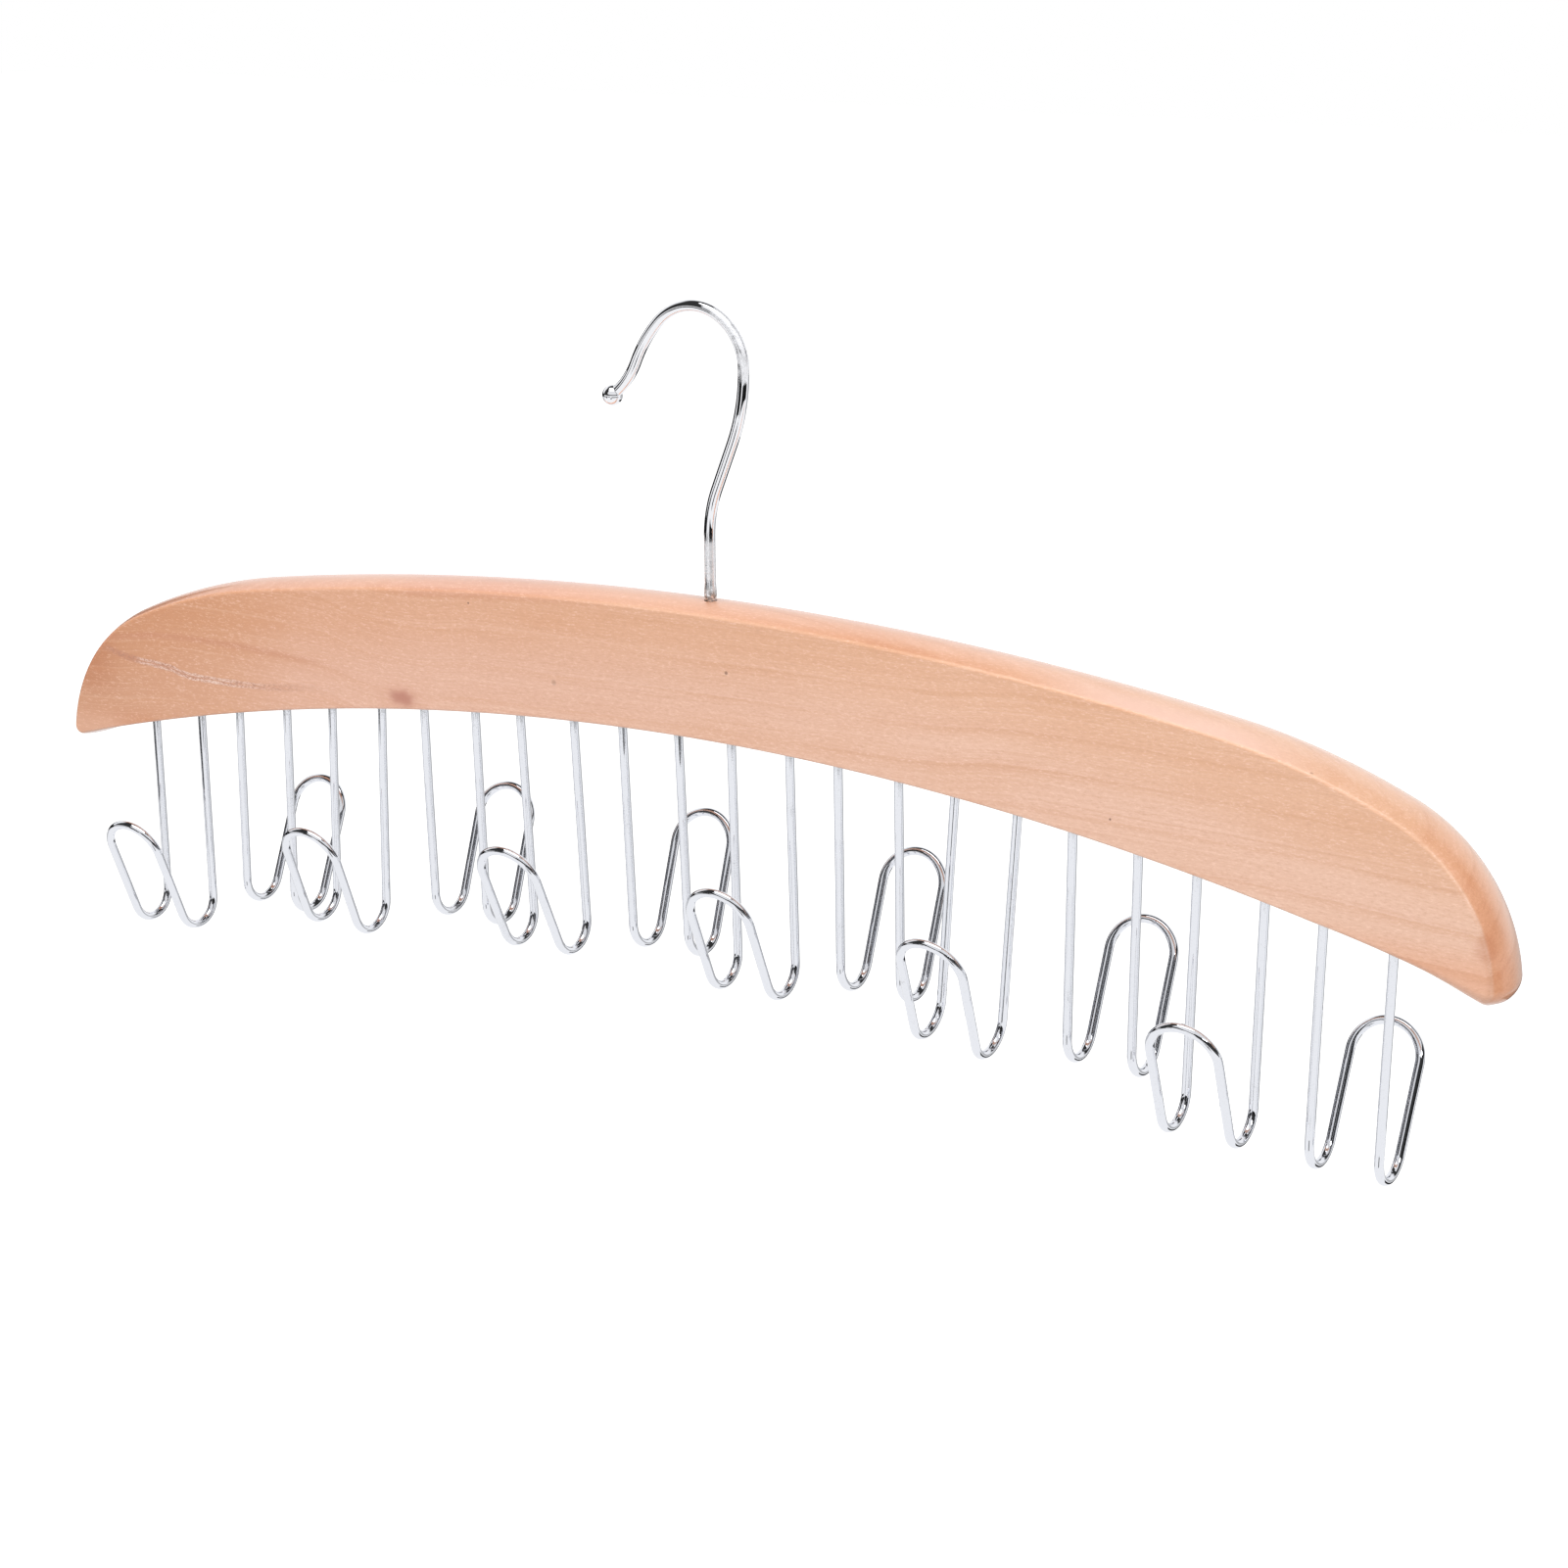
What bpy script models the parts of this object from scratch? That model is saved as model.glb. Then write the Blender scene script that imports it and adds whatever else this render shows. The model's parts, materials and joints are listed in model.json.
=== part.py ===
"""Belt hanger: a wooden bar with a row of bent wire belt hooks under it and a swivel hook above.

Metres, +Z up. The origin is the inside of the swivel hook's crest, where the hook rests on a
rail. The bar runs along X and its front face looks along -Y.
"""
import math

import bmesh
import bpy
from mathutils import Vector

# Wooden bar
FACE_LENGTH = 0.4376
BAR_HEIGHT = 0.0349
BAR_THICKNESS = 0.0176
CROWN_HEIGHT = 0.0019
TOP_RADIUS = 0.96
SHOULDER_RADIUS = 0.176
NOSE_RADIUS = 0.0455
SHOULDER_ANGLE = math.radians(24)
TIP_RADIUS = 0.003
HEEL_LENGTH = 0.045
UNDER_RADIUS = 0.8
RIGHT_HEEL_RADIUS = 0.36
EDGE_EASE = 0.0006

# How much of the crown each arc of the outline starts and ends with, from the top to the lower edge
CROWN_SHARES = ((1, 1), (1, 1), (1, 1), (1, 0.6), (0.6, 0), (0, 0))

# Belt hooks, bent from one wire each
HOOK_COUNT = 12
END_MARGIN = 0.03455
ROW_SHIFT = -0.0015
BELT_WIRE = 0.0022
LEG_SPACING = 0.0179
LEG_LENGTH = 0.0567
BEND_RADIUS = 0.0069
ARM_LENGTH = 0.0217
ARM_LEAN = math.radians(22)
WIRE_EMBED = 0.011

# How unevenly the belt hooks were bent and pressed in, from left to right
LEG_SHARES = (0.94, 0.95, 0.99, 0.99, 1.015, 1.01, 1.04, 0.995, 1.05, 0.99, 1.005, 1.01)
ARM_SHARES = (0.99, 1.02, 0.92, 1.015, 0.95, 1.01, 0.93, 1.02, 1.1, 1.015, 1.0, 1.02)
SHIFT_SHARES = (0, -0.025, 0.015, -0.005, -0.015, -0.005, 0.025, -0.005, 0.02, 0.005, 0.01, -0.01)
TILT_DEGREES = (-2, -0.25, -0.75, 0.5, 0.75, 0, 0.25, 0, 4, 0, -1, -0.75)
LEAN_DEGREES = (-2, 0.75, 1, -1, -2, -2, -1, -0.5, 6, 0.75, 1, 1.25)

# Swivel hook, from the bar's crown to the ball at its tip
HOOK_WIRE = 0.0028
SHANK_OFFSET = 0.0015
SHANK_RISE = 0.0187
SHANK_BEND_RADIUS = 0.0137
NECK_LEAN = math.radians(19.5)
NECK_LENGTH = 0.0243
NECK_BEND_RADIUS = 0.0416
CREST_RADIUS = 0.015
CREST_TURN = math.radians(147)
REACH_LENGTH = 0.0158
LIP_RADIUS = 0.0052
LIP_TURN = math.radians(18)
LIP_LENGTH = 0.0045
BALL_RADIUS = 0.0024
BALL_END = math.radians(172)
SHOULDER_RIDGE = 0.00035
SHOULDER_RISE = 0.004

# Washer and nut that hold the shank, in a recess under the bar
WASHER_DIAMETER = 0.0064
WASHER_THICKNESS = 0.0008
NUT_ACROSS_FLATS = 0.0055
NUT_HEIGHT = 0.0024
NUT_CHAMFER = 0.0003
THREAD_END = 0.0012
RECESS_DIAMETER = 0.0072

# Fits
CLEARANCE = 0.0003
OVERRUN = 0.006

# Mesh fineness
TOP_STEPS = 12
SHOULDER_STEPS = 6
NOSE_STEPS = 10
TIP_STEPS = 8
UNDER_STEPS = 14
HEEL_STEPS = 6
CROWN_STEPS = 4
EASE_STEPS = 3
BEND_STEPS = 10
ARCH_STEPS = 14
CREST_STEPS = 22
CURVE_STEPS = 6
BALL_STEPS = 7
BORE_SIDES = 16
ROUND_SIDES = 24
HEX_SIDES = 6
BELT_WIRE_BEVEL = 3
HOOK_WIRE_BEVEL = 4
SHARP_ANGLE = math.radians(20)

# Sizes that follow from those above
HALF_THICKNESS = BAR_THICKNESS / 2
PITCH = (FACE_LENGTH - 2 * END_MARGIN) / (HOOK_COUNT - 1)
HALF_SPACING = LEG_SPACING / 2
BORE_DIAMETER = HOOK_WIRE + 2 * CLEARANCE
WIRE_HOLE_DIAMETER = BELT_WIRE + 2 * CLEARANCE
SHANK_END = WIRE_EMBED + 2 * CLEARANCE
NUT_BASE = SHANK_END + THREAD_END
WASHER_BASE = NUT_BASE + NUT_HEIGHT + CLEARANCE
RECESS_DEPTH = WASHER_BASE + WASHER_THICKNESS + CLEARANCE


def clear_scene():
    """Remove what the scene already holds."""
    for item in list(bpy.data.objects):
        bpy.data.objects.remove(item)


def make_material(name, colour, roughness, metallic):
    """A Principled material of one colour."""
    material = bpy.data.materials.new(name)
    material.use_nodes = True
    shader = material.node_tree.nodes["Principled BSDF"]
    shader.inputs["Base Color"].default_value = (*colour, 1)
    shader.inputs["Roughness"].default_value = roughness
    shader.inputs["Metallic"].default_value = metallic
    return material


def add_object(name, data, parent, location=(0, 0, 0)):
    """Link an object under its parent, placed in the parent's frame."""
    item = bpy.data.objects.new(name, data)
    bpy.context.scene.collection.objects.link(item)
    item.parent = parent
    item.location = location
    return item


def mesh_from(name, build):
    """A mesh that the function build fills, with its faces turned outwards."""
    shape = bmesh.new()
    build(shape)
    bmesh.ops.recalc_face_normals(shape, faces=shape.faces)
    mesh = bpy.data.meshes.new(name)
    shape.to_mesh(mesh)
    shape.free()
    return mesh


def shade_round(mesh):
    """Shade smooth, with the real edges left sharp."""
    mesh.shade_smooth()
    mesh.set_sharp_from_angle(angle=SHARP_ANGLE)


def wire_curve(name, points, diameter, bevel, radii=None):
    """A round wire along the points, closed at both ends; radii are shares of its own radius."""
    curve = bpy.data.curves.new(name, "CURVE")
    curve.dimensions = "3D"
    curve.bevel_depth = diameter / 2
    curve.bevel_resolution = bevel
    curve.use_fill_caps = True
    spline = curve.splines.new("POLY")
    spline.points.add(len(points) - 1)
    for index, point in enumerate(points):
        spline.points[index].co = (*point, 1)
        spline.points[index].radius = radii[index] if radii else 1
    return curve


def direction(angle):
    """The unit direction at an angle turned from +Z towards +X, as (x, z)."""
    return Vector((math.sin(angle), math.cos(angle)))


# Wooden bar, in a frame with its origin at the middle of the bar's lower edge


def under_height(x):
    """Height of the bar's lower edge at x, on the long arc that the row of belt hooks follows."""
    return math.sqrt(UNDER_RADIUS ** 2 - (x - ROW_SHIFT) ** 2) - UNDER_RADIUS


def circles_meet(centre_a, radius_a, centre_b, radius_b):
    """The right-hand point where two circles meet."""
    apart = centre_b - centre_a
    along = (apart.length_squared + radius_a ** 2 - radius_b ** 2) / (2 * apart.length)
    across = math.sqrt(radius_a ** 2 - along ** 2)
    unit = apart.normalized()
    middle = centre_a + unit * along
    sides = [middle + Vector((unit.y, -unit.x)) * across * sign for sign in (-1, 1)]
    return max(sides, key=lambda point: point.x)


def face_arcs(shift, heel_radius):
    """The right half of the flat face's outline: centre, radius, first and last angle, steps.

    The top is one long arc, and a shoulder arc and a nose arc follow it without a corner. A
    small arc rounds the tip into the heel, which runs on into the long arc of the lower edge.
    """
    beyond_top = NOSE_RADIUS + (SHOULDER_RADIUS - NOSE_RADIUS) * math.sin(SHOULDER_ANGLE)
    top_angle = math.asin((FACE_LENGTH / 2 - beyond_top) / (TOP_RADIUS - SHOULDER_RADIUS))
    top = Vector((0, BAR_HEIGHT - CROWN_HEIGHT - EDGE_EASE - TOP_RADIUS))
    shoulder = top + direction(top_angle) * (TOP_RADIUS - SHOULDER_RADIUS)
    nose = shoulder + direction(SHOULDER_ANGLE) * (SHOULDER_RADIUS - NOSE_RADIUS)
    under = Vector((shift, -UNDER_RADIUS))
    middle_angle = math.asin(-shift / (UNDER_RADIUS + EDGE_EASE))
    heel_angle = math.asin((FACE_LENGTH / 2 - HEEL_LENGTH - shift) / UNDER_RADIUS)
    heel = under + direction(heel_angle) * (UNDER_RADIUS - heel_radius)
    tip = circles_meet(nose, NOSE_RADIUS - TIP_RADIUS, heel, heel_radius + EDGE_EASE + TIP_RADIUS)
    nose_angle = math.atan2(tip.x - nose.x, tip.y - nose.y)
    tip_angle = math.atan2(tip.x - heel.x, tip.y - heel.y)
    return [
        (top, TOP_RADIUS, 0, top_angle, TOP_STEPS),
        (shoulder, SHOULDER_RADIUS, top_angle, SHOULDER_ANGLE, SHOULDER_STEPS),
        (nose, NOSE_RADIUS, SHOULDER_ANGLE, nose_angle, NOSE_STEPS),
        (tip, TIP_RADIUS, nose_angle, tip_angle + math.pi, TIP_STEPS),
        (heel, -(heel_radius + EDGE_EASE), tip_angle + math.pi, heel_angle + math.pi, HEEL_STEPS),
        (under, -(UNDER_RADIUS + EDGE_EASE), heel_angle + math.pi, middle_angle + math.pi, UNDER_STEPS),
    ]


def half_outline(shift, heel_radius):
    """The outline's right half, from the top's middle to the lower edge's, as face_outline gives it."""
    half = []
    arcs = face_arcs(shift, heel_radius)
    for (centre, radius, first, last, steps), (crown, next_crown) in zip(arcs, CROWN_SHARES):
        for step in range(steps):
            part = step / steps
            outward = direction(first + (last - first) * part)
            ease = (1 - math.cos(math.pi * part)) / 2
            half.append((centre + outward * radius, outward, crown + (next_crown - crown) * ease))
    return half


def face_outline():
    """The closed outline of the flat face: points, outward directions and shares of the crown."""
    left = half_outline(-ROW_SHIFT, UNDER_RADIUS)
    right = half_outline(ROW_SHIFT, RIGHT_HEEL_RADIUS)
    middle = (Vector((0, under_height(0) + EDGE_EASE)), direction(math.pi), 0)
    mirror = [(Vector((-p.x, p.y)), Vector((-d.x, d.y)), share) for p, d, share in reversed(left[1:])]
    return right + [middle] + mirror


def crown_at(y):
    """How far the rounded top stands out above its eased edges, at a depth y."""
    radius = (HALF_THICKNESS ** 2 + CROWN_HEIGHT ** 2) / (2 * CROWN_HEIGHT)
    return math.sqrt(radius ** 2 - y ** 2) - (radius - CROWN_HEIGHT)


def ease_at(y):
    """How far the eased edge stands out from the face's outline, at a depth y."""
    into_ease = max(abs(y) - (HALF_THICKNESS - EDGE_EASE), 0)
    return math.sqrt(max(EDGE_EASE ** 2 - into_ease ** 2, 0))


def section_depths():
    """The depths of the bar's rings, from the front face to the back face."""
    inner = HALF_THICKNESS - EDGE_EASE
    depths = [inner * step / CROWN_STEPS for step in range(CROWN_STEPS)]
    quarter = math.pi / 2 / EASE_STEPS
    depths += [inner + EDGE_EASE * math.sin(quarter * step) for step in range(EASE_STEPS + 1)]
    return [-depth for depth in reversed(depths[1:])] + depths


def build_bar(shape):
    """The bar's body, as rings of the outline from the front face to the back face."""
    outline = face_outline()
    rings = []
    for y in section_depths():
        ring = []
        for point, outward, crown in outline:
            place = point + outward * (ease_at(y) + crown_at(y) * crown)
            ring.append(shape.verts.new((place.x, y, place.y)))
        rings.append(ring)
    for ring, following in zip(rings, rings[1:]):
        for index in range(len(ring)):
            corners = (ring[index - 1], ring[index], following[index], following[index - 1])
            shape.faces.new(corners)
    shape.faces.new(rings[0])
    shape.faces.new(rings[-1])


def add_rod(shape, x, bottom, top, diameter, sides):
    """An upright rod at x, as a cutter."""
    rod = bmesh.ops.create_cone(
        shape, cap_ends=True, segments=sides,
        radius1=diameter / 2, radius2=diameter / 2, depth=top - bottom,
    )
    bmesh.ops.translate(shape, verts=rod["verts"], vec=(x, 0, (bottom + top) / 2))


def build_recess(shape):
    """The recess for the washer and the nut, open at the bar's lower edge."""
    add_rod(shape, SHANK_OFFSET, -OVERRUN, RECESS_DEPTH, RECESS_DIAMETER, ROUND_SIDES)


def build_bore(shape):
    """The bore for the shank, from the recess through the crown."""
    add_rod(shape, SHANK_OFFSET, RECESS_DEPTH / 2, BAR_HEIGHT + OVERRUN, BORE_DIAMETER, BORE_SIDES)


def build_wire_holes(shape):
    """Two blind holes for one belt hook's legs."""
    for x in (-HALF_SPACING, HALF_SPACING):
        add_rod(shape, x, -OVERRUN, WIRE_EMBED + CLEARANCE, WIRE_HOLE_DIAMETER, BORE_SIDES)


def add_cutter(bar, name, build, parent):
    """A hidden shape that is cut from the bar."""
    cutter = add_object(name, mesh_from(name, build), parent)
    cutter.hide_render = True
    cutter.display_type = "WIRE"
    cut = bar.modifiers.new(name, "BOOLEAN")
    cut.operation = "DIFFERENCE"
    cut.solver = "EXACT"
    cut.object = cutter
    return cutter


def add_bar(parent, material):
    """The wooden bar with the shank's bore and recess."""
    mesh = mesh_from("wood_bar", build_bar)
    shade_round(mesh)
    mesh.materials.append(material)
    bar = add_object("wood_bar", mesh, parent)
    add_cutter(bar, "recess_cut", build_recess, parent)
    add_cutter(bar, "bore_cut", build_bore, parent)
    return bar


# Belt hooks, each in a frame with its origin between its legs at the bar's lower edge


def belt_hook_points(leg_length, arm_length, side):
    """The line of one belt hook: down a leg, round the bend, up the arm, over the arch and back."""
    arm = direction(ARM_LEAN)
    profile = [Vector((0, WIRE_EMBED)), Vector((0, -leg_length))]
    for step in range(1, BEND_STEPS + 1):
        angle = (math.pi - ARM_LEAN) * step / BEND_STEPS
        height = -leg_length - BEND_RADIUS * math.sin(angle)
        profile.append(Vector((BEND_RADIUS * (1 - math.cos(angle)), height)))
    arm_top = profile[-1] + arm * arm_length
    line = [(-HALF_SPACING, point) for point in profile]
    for step in range(ARCH_STEPS + 1):
        angle = math.pi * step / ARCH_STEPS
        line.append((-HALF_SPACING * math.cos(angle), arm_top + arm * HALF_SPACING * math.sin(angle)))
    line += [(HALF_SPACING, point) for point in reversed(profile)]
    return [(x, side * point.x, point.y) for x, point in line]


def add_belt_hooks(bar, parent, material):
    """The belt hooks, by turns in front of the bar and behind it, and their holes in the bar."""
    uneven = zip(LEG_SHARES, ARM_SHARES, SHIFT_SHARES, TILT_DEGREES, LEAN_DEGREES)
    for index, (leg_share, arm_share, shift_share, tilt, lean) in enumerate(uneven):
        name = f"belt_hook_{index + 1:02d}"
        side = -1 if index % 2 == 0 else 1
        x = ROW_SHIFT + (index - (HOOK_COUNT - 1) / 2 + shift_share) * PITCH
        points = belt_hook_points(LEG_LENGTH * leg_share, ARM_LENGTH * arm_share, side)
        hook = add_object(name, wire_curve(name, points, BELT_WIRE, BELT_WIRE_BEVEL), parent)
        hook.data.materials.append(material)
        holes = add_cutter(bar, f"wire_cut_{index + 1:02d}", build_wire_holes, parent)
        for item in (hook, holes):
            item.location = (x, 0, under_height(x))
            item.rotation_euler = (math.radians(tilt), math.radians(lean), 0)


# Swivel hook, in a frame with its origin on the shank's axis at the bar's crown


def swivel_hook_line():
    """The line of the swivel hook above the crown, its crest's centre and its last heading."""
    point = Vector((0, 0))
    heading = 0
    line = [point]
    bends = (
        (SHANK_RISE, SHANK_BEND_RADIUS, NECK_LEAN, CURVE_STEPS),
        (NECK_LENGTH, NECK_BEND_RADIUS, -NECK_LEAN, CURVE_STEPS),
        (0, CREST_RADIUS, -CREST_TURN, CREST_STEPS),
        (REACH_LENGTH, LIP_RADIUS, LIP_TURN, CURVE_STEPS),
    )
    crest = None
    for straight, radius, turn, steps in bends:
        point = point + direction(heading) * straight
        side = math.copysign(math.pi / 2, turn)
        centre = point + direction(heading + side) * radius
        if radius == CREST_RADIUS:
            crest = centre
        for step in range(0 if straight else 1, steps + 1):
            line.append(centre - direction(heading + turn * step / steps + side) * radius)
        heading += turn
        point = line[-1]
    return line, crest, heading


def swivel_hook_shape():
    """The swivel hook's points, the shares of its radius there, and its crest's centre."""
    line, crest, heading = swivel_hook_line()
    radius = HOOK_WIRE / 2
    ridge = 1 + SHOULDER_RIDGE / radius
    foot = [
        (SHANK_END - BAR_HEIGHT, 1),
        (CLEARANCE, 1),
        (CLEARANCE + SHOULDER_RIDGE, ridge),
        (SHOULDER_RISE / 2, (1 + ridge) / 2),
        (SHOULDER_RISE, 1),
    ]
    points = [Vector((0, height)) for height, _ in foot] + line[1:]
    radii = [share for _, share in foot] + [1] * (len(line) - 1)
    ball = line[-1] + direction(heading) * LIP_LENGTH
    start = math.asin(radius / BALL_RADIUS)
    for step in range(BALL_STEPS + 1):
        angle = start + (BALL_END - start) * step / BALL_STEPS
        points.append(ball - direction(heading) * BALL_RADIUS * math.cos(angle))
        radii.append(BALL_RADIUS * math.sin(angle) / radius)
    return [(point.x, 0, point.y) for point in points], radii, crest


def add_swivel_hook(parent, material):
    """The swivel hook."""
    points, radii, _ = swivel_hook_shape()
    curve = wire_curve("swivel_hook", points, HOOK_WIRE, HOOK_WIRE_BEVEL, radii)
    curve.materials.append(material)
    return add_object("swivel_hook", curve, parent)


# Washer and nut on the shank's lower end


def build_ring(shape, levels, inner):
    """A ring through levels of (height, outer radius at an angle), with a round bore."""
    loops = []
    for height, outer in levels:
        loops.append([(outer(2 * math.pi * s / ROUND_SIDES), height) for s in range(ROUND_SIDES)])
    bore = [[(inner, levels[-1][0])] * ROUND_SIDES, [(inner, levels[0][0])] * ROUND_SIDES]
    rings = []
    for loop in loops + bore:
        ring = []
        for step, (radius, height) in enumerate(loop):
            angle = 2 * math.pi * step / ROUND_SIDES
            ring.append(shape.verts.new((radius * math.cos(angle), radius * math.sin(angle), height)))
        rings.append(ring)
    for ring, following in zip(rings, rings[1:] + rings[:1]):
        for index in range(ROUND_SIDES):
            shape.faces.new((ring[index - 1], ring[index], following[index], following[index - 1]))


def build_washer(shape):
    """A flat round washer, standing on its lower face."""
    levels = [(0, lambda angle: WASHER_DIAMETER / 2), (WASHER_THICKNESS, lambda angle: WASHER_DIAMETER / 2)]
    build_ring(shape, levels, BORE_DIAMETER / 2)


def hexagon_radius(angle):
    """Distance from the nut's axis to its flats at an angle."""
    sector = 2 * math.pi / HEX_SIDES
    return NUT_ACROSS_FLATS / 2 / math.cos((angle % sector) - sector / 2)


def chamfer_radius(angle):
    """The nut's outline where its corners are chamfered away."""
    return min(hexagon_radius(angle), NUT_ACROSS_FLATS / 2 + NUT_CHAMFER / 2)


def build_nut(shape):
    """A hexagon nut with chamfered corners, standing on its lower face."""
    levels = [
        (0, chamfer_radius),
        (NUT_CHAMFER, hexagon_radius),
        (NUT_HEIGHT - NUT_CHAMFER, hexagon_radius),
        (NUT_HEIGHT, chamfer_radius),
    ]
    build_ring(shape, levels, BORE_DIAMETER / 2)


def add_fastener(name, build, base, parent, material):
    """A piece on the shank, with its lower face at a height above the bar's lower edge."""
    mesh = mesh_from(name, build)
    shade_round(mesh)
    mesh.materials.append(material)
    return add_object(name, mesh, parent, (0, 0, base - BAR_HEIGHT))


def build_hanger():
    """The whole hanger, with the shank's axis placed so that the crest is over the origin."""
    clear_scene()
    wood = make_material("wood", (0.66, 0.42, 0.27), 0.35, 0)
    chrome = make_material("chrome", (0.8, 0.81, 0.83), 0.08, 1)
    steel = make_material("steel", (0.55, 0.55, 0.56), 0.3, 1)

    _, _, crest = swivel_hook_shape()
    crown = (-crest.x, 0, -(crest.y + CREST_RADIUS - HOOK_WIRE / 2))
    hook_axis = add_object("hook_axis", None, None, crown)
    add_swivel_hook(hook_axis, chrome)
    add_fastener("hook_washer", build_washer, WASHER_BASE, hook_axis, steel)
    add_fastener("hook_nut", build_nut, NUT_BASE, hook_axis, steel)

    bar_swivel = add_object("bar_swivel", None, None, crown)
    bar_frame = add_object("bar_frame", None, bar_swivel, (-SHANK_OFFSET, 0, -BAR_HEIGHT))
    bar = add_bar(bar_frame, wood)
    add_belt_hooks(bar, bar_frame, chrome)


build_hanger()
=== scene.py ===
"""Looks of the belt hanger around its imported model, with its stage, lamps and camera.

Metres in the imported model's frame: +Z up, the bar along X, its front face towards -Y.
"""
import json
import math

import bmesh
import bpy
from mathutils import Matrix, Vector, noise


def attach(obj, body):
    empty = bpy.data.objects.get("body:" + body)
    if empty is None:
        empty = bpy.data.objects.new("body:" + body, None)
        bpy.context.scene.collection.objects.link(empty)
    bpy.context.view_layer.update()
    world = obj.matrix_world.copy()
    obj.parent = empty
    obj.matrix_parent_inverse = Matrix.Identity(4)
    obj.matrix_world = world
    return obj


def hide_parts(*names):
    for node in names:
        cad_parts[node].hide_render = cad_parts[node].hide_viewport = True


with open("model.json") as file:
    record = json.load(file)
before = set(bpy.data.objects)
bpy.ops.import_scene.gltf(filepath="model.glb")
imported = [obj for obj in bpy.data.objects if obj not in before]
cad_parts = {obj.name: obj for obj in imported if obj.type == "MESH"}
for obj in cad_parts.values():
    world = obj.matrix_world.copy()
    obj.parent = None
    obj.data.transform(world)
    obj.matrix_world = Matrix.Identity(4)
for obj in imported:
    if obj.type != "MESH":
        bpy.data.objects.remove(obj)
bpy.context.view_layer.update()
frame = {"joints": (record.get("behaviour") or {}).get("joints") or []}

# Sizes of the bar, as its source gives them
FACE_LENGTH = 0.4376
BAR_HEIGHT = 0.0349
BAR_THICKNESS = 0.0176
CROWN_HEIGHT = 0.0019
TOP_RADIUS = 0.96
SHOULDER_RADIUS = 0.176
NOSE_RADIUS = 0.0455
SHOULDER_ANGLE = math.radians(24)
HEEL_LENGTH = 0.045
UNDER_RADIUS = 0.8
RIGHT_HEEL_RADIUS = 0.36
EDGE_EASE = 0.0006

# Sizes of the belt hooks, as their source gives them
HOOK_COUNT = 12
END_MARGIN = 0.03455
ROW_SHIFT = -0.0015
BELT_WIRE = 0.0022
LEG_SPACING = 0.0179
LEG_LENGTH = 0.0567
BEND_RADIUS = 0.0069
ARM_LENGTH = 0.0217
ARM_LEAN = math.radians(22)
WIRE_EMBED = 0.011
LEG_SHARES = (0.94, 0.95, 0.99, 0.99, 1.015, 1.01, 1.04, 0.995, 1.05, 0.99, 1.005, 1.01)
ARM_SHARES = (0.99, 1.02, 0.92, 1.015, 0.95, 1.01, 0.93, 1.02, 1.1, 1.015, 1.0, 1.02)
SHIFT_SHARES = (0, -0.025, 0.015, -0.005, -0.015, -0.005, 0.025, -0.005, 0.02, 0.005, 0.01, -0.01)
TILT_DEGREES = (-2, -0.25, -0.75, 0.5, 0.75, 0, 0.25, 0, 4, 0, -1, -0.75)
LEAN_DEGREES = (-2, 0.75, 1, -1, -2, -2, -1, -0.5, 6, 0.75, 1, 1.25)

# Sizes of the shank, the washer, the nut and their holes, as their source gives them
HOOK_WIRE = 0.0028
SHANK_OFFSET = 0.0015
SHOULDER_RIDGE = 0.00035
SHOULDER_RISE = 0.004
WASHER_DIAMETER = 0.0064
WASHER_THICKNESS = 0.0008
NUT_ACROSS_FLATS = 0.0055
NUT_HEIGHT = 0.0024
NUT_CHAMFER = 0.0003
THREAD_END = 0.0012
RECESS_DIAMETER = 0.0072
CLEARANCE = 0.0003
OVERRUN = 0.006

# The swivel hook's line above the crown and its ball, fitted again to the photograph
SHANK_RISE = 0.0163
SHANK_BEND_RADIUS = 0.0347
NECK_LEAN = math.radians(22.1)
NECK_LENGTH = 0.0127
NECK_BEND_RADIUS = 0.0515
CREST_RADIUS = 0.0148
CREST_TURN = math.radians(136)
REACH_RADIUS = 0.0374
REACH_TURN = math.radians(20.3)
LIP_RADIUS = 0.0217
LIP_TURN = math.radians(27.4)
LIP_LENGTH = 0.0018
BALL_RADIUS = 0.0027
BALL_END = math.radians(178)
SHANK_REACH = 0.001

# The wires' widths outside the bar, as the photograph shows them
BELT_WIRE_SEEN = 0.0024
HOOK_WIRE_SEEN = 0.003

# The bar's tips: radius, share of the crown carried round, how fast that dies away, and ease of the
# front edge. Where this is more than elsewhere, the front is sanded back too, by up to TIP_INSET
TIP_EASE = 0.0013
TIP_INSET = 0.0013
RIGHT_TIP = (0.0021, 1.4, 2.2, TIP_EASE)
LEFT_TIP = (0.0015, 0.7, 2.5, EDGE_EASE)

# Sizes that follow from those above
HALF_THICKNESS = BAR_THICKNESS / 2
PITCH = (FACE_LENGTH - 2 * END_MARGIN) / (HOOK_COUNT - 1)
HALF_SPACING = LEG_SPACING / 2
BORE_DIAMETER = HOOK_WIRE + 2 * CLEARANCE
WIRE_HOLE_DIAMETER = BELT_WIRE + 2 * CLEARANCE
SHANK_END = WIRE_EMBED + 2 * CLEARANCE
NUT_BASE = SHANK_END + THREAD_END
WASHER_BASE = NUT_BASE + NUT_HEIGHT + CLEARANCE
RECESS_DEPTH = WASHER_BASE + WASHER_THICKNESS + CLEARANCE

# The shank's axis at the bar's crown, and the middle of the bar's lower edge
CROWN = Vector(frame["joints"][0]["pos_m"])
BAR_ORIGIN = CROWN + Vector((-SHANK_OFFSET, 0, -BAR_HEIGHT))


# Node graphs


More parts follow.
